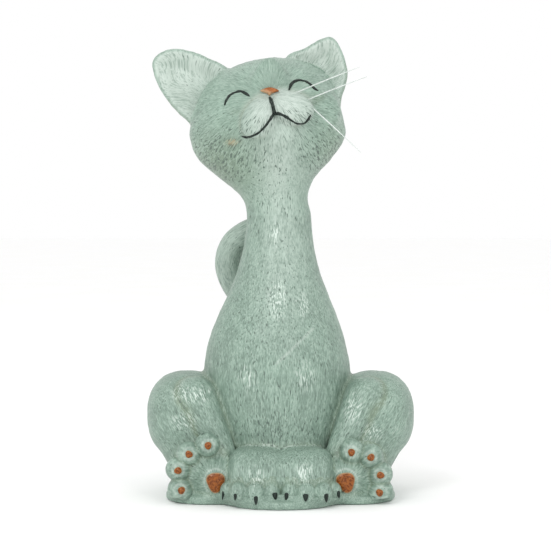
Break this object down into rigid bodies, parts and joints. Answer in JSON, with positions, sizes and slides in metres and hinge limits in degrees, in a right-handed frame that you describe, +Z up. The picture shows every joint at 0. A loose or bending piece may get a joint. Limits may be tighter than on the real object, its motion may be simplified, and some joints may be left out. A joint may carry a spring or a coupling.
{
  "type": "ceramic cat figurine",
  "caption": "Seated ceramic cat with a stretched neck, a tilted smiling head, splayed hind feet showing their pads and a curled tail, on a flat felted base.",
  "frame": {"origin": "middle of the felt's underside, on the surface that the figurine stands on", "axes": "+Z up, the cat looks along -Y, and +X is the cat's own left side"},
  "size_m": [0.1418, 0.1212, 0.2456],
  "materials": {
    "fur_glaze": "sage green glaze over hand-tooled fur strokes, semi-gloss, darker in the grooves",
    "pale_glaze": "sage glaze dry-brushed with white",
    "nose_glaze": "orange-brown glaze",
    "pad_glaze": "orange-brown inlaid glaze",
    "dark_glaze": "green-black line glaze",
    "nylon": "white nylon filament",
    "felt": "dark felt"
  },
  "bodies": {
    "root": {"base_felt": "felt", "base_slab": "fur_glaze", "torso_shell": "fur_glaze", "tail": "fur_glaze", "head_shell": "fur_glaze", "nose": "nose_glaze", "mouth_line": "dark_glaze", "left_whiskers": "nylon", "left_ear": "pale_glaze", "left_whisker_pad": "pale_glaze", "left_eyelid_line": "dark_glaze", "left_haunch": "fur_glaze", "left_hind_foot": "fur_glaze", "left_heel_pad": "pad_glaze", "left_toe_pads": "pad_glaze", "left_front_paw": "fur_glaze", "left_front_toes": "fur_glaze", "left_claws": "dark_glaze", "right_ear": "pale_glaze", "right_whisker_pad": "pale_glaze", "right_eyelid_line": "dark_glaze", "right_haunch": "fur_glaze", "right_hind_foot": "fur_glaze", "right_heel_pad": "pad_glaze", "right_toe_pads": "pad_glaze", "right_front_paw": "fur_glaze", "right_front_toes": "fur_glaze", "right_claws": "dark_glaze", "left_hind_toe_1": "fur_glaze", "left_hind_toe_2": "fur_glaze", "left_hind_toe_3": "fur_glaze", "left_hind_toe_4": "fur_glaze", "right_hind_toe_1": "fur_glaze", "right_hind_toe_2": "fur_glaze", "right_hind_toe_3": "fur_glaze", "right_hind_toe_4": "fur_glaze"}
  },
  "joints": []
}
